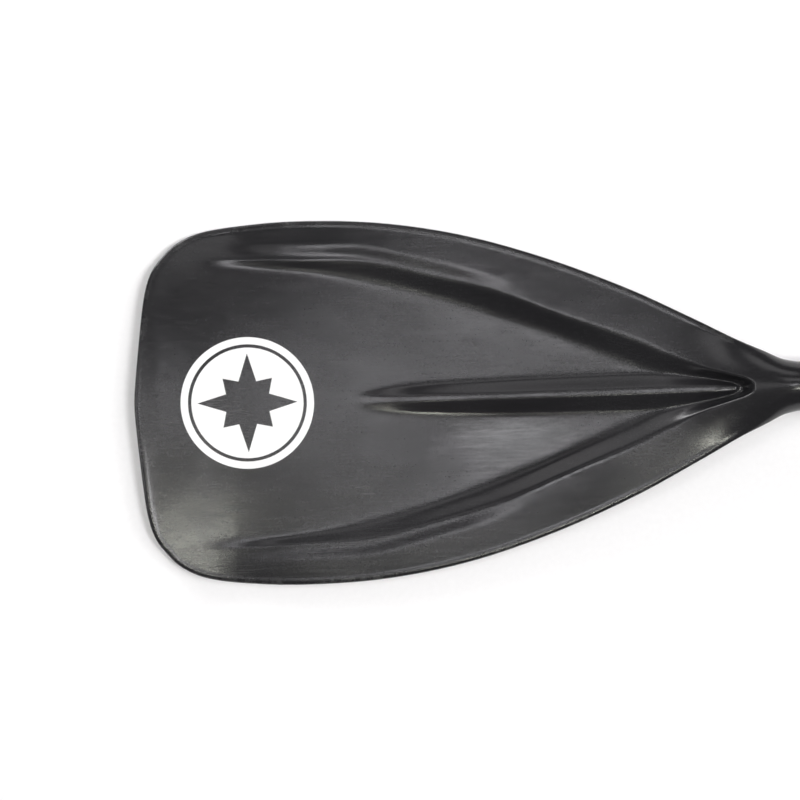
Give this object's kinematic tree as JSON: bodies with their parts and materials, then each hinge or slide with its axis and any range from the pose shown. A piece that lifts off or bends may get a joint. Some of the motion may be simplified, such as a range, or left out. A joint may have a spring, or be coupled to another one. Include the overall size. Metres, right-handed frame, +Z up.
{
  "type": "kayak paddle",
  "caption": "Double-bladed take-apart kayak paddle: wide ribbed blades, tube shaft, lever clamp that sets feather and length, snap-button blades, sliding drip rings.",
  "frame": {"origin": "middle of the bounding box on the floor, under the shaft's middle", "axes": "+X along the shaft towards the right blade, +Z up from the floor, out of the blades' power faces"},
  "size_m": [2.2, 0.2212, 0.0471],
  "materials": {
    "blade_plastic": "satin charcoal, finely streaked along the blade",
    "badge_film": "satin white film",
    "shaft_metal": "black anodised",
    "inner_tube_metal": "clear anodised",
    "bare_metal": "brushed stainless",
    "rubber": "matte black",
    "nylon": "lightly textured black",
    "foam": "closed-cell foam"
  },
  "bodies": {
    "left_half": {"left_blade": "blade_plastic", "left_badge": "badge_film", "left_o_ring": "rubber", "left_button_spring": "bare_metal", "left_shaft_tube": "shaft_metal", "left_grip_sleeve": "rubber", "left_foam_plug": "foam", "clamp_collar": "nylon", "clamp_bolt": "bare_metal", "cam_washer": "bare_metal", "lever_barrel": "bare_metal"},
    "lever": {"cam_lever": "nylon"},
    "tension_nut": {"thumb_nut": "nylon"},
    "left_lock": {"left_button": "bare_metal"},
    "left_drip": {"left_drip_ring": "rubber"},
    "index_ring": {"feather_ring": "nylon"},
    "right_half": {"ferrule_tube": "inner_tube_metal", "ferrule_end_bush": "nylon", "ferrule_rivet_1": "bare_metal", "ferrule_rivet_2": "bare_metal", "right_shaft_tube": "shaft_metal", "right_grip_sleeve": "rubber", "right_foam_plug": "foam", "right_blade": "blade_plastic", "right_badge": "badge_film", "right_o_ring": "rubber", "right_button_spring": "bare_metal"},
    "right_lock": {"right_button": "bare_metal"},
    "right_drip": {"right_drip_ring": "rubber"}
  },
  "joints": [
    {"name": "lever_open", "type": "hinge", "parent": "left_half", "child": "lever", "pos_m": [0.019, 0.027, 0.0416], "axis": [-1, 0, 0], "range_deg": [0, 165]},
    {"name": "nut_turn", "type": "hinge", "parent": "left_half", "child": "tension_nut", "pos_m": [0.019, 0.027, 0.0137], "axis": [0, 0, 1], "continuous": true},
    {"name": "left_button_press", "type": "slide", "parent": "left_half", "child": "left_lock", "axis": [0, 0, -1], "range_m": [0, 0.0044], "stiffness_N_per_m": 1200, "springref_m": -0.001, "deforming": ["left_button_spring"]},
    {"name": "left_drip_slide", "type": "slide", "parent": "left_half", "child": "left_drip", "axis": [1, 0, 0], "range_m": [-0.05, 0.05]},
    {"name": "feather_angle", "type": "hinge", "parent": "left_half", "child": "index_ring", "pos_m": [0.04, 0, 0.024], "axis": [1, 0, 0], "range_deg": [-90, 90]},
    {"name": "length_slide", "type": "slide", "parent": "index_ring", "child": "right_half", "axis": [1, 0, 0], "range_m": [0, 0.1]},
    {"name": "right_button_press", "type": "slide", "parent": "right_half", "child": "right_lock", "axis": [0, 0, -1], "range_m": [0, 0.0044], "stiffness_N_per_m": 1200, "springref_m": -0.001, "deforming": ["right_button_spring"]},
    {"name": "right_drip_slide", "type": "slide", "parent": "right_half", "child": "right_drip", "axis": [1, 0, 0], "range_m": [-0.05, 0.05]}
  ]
}
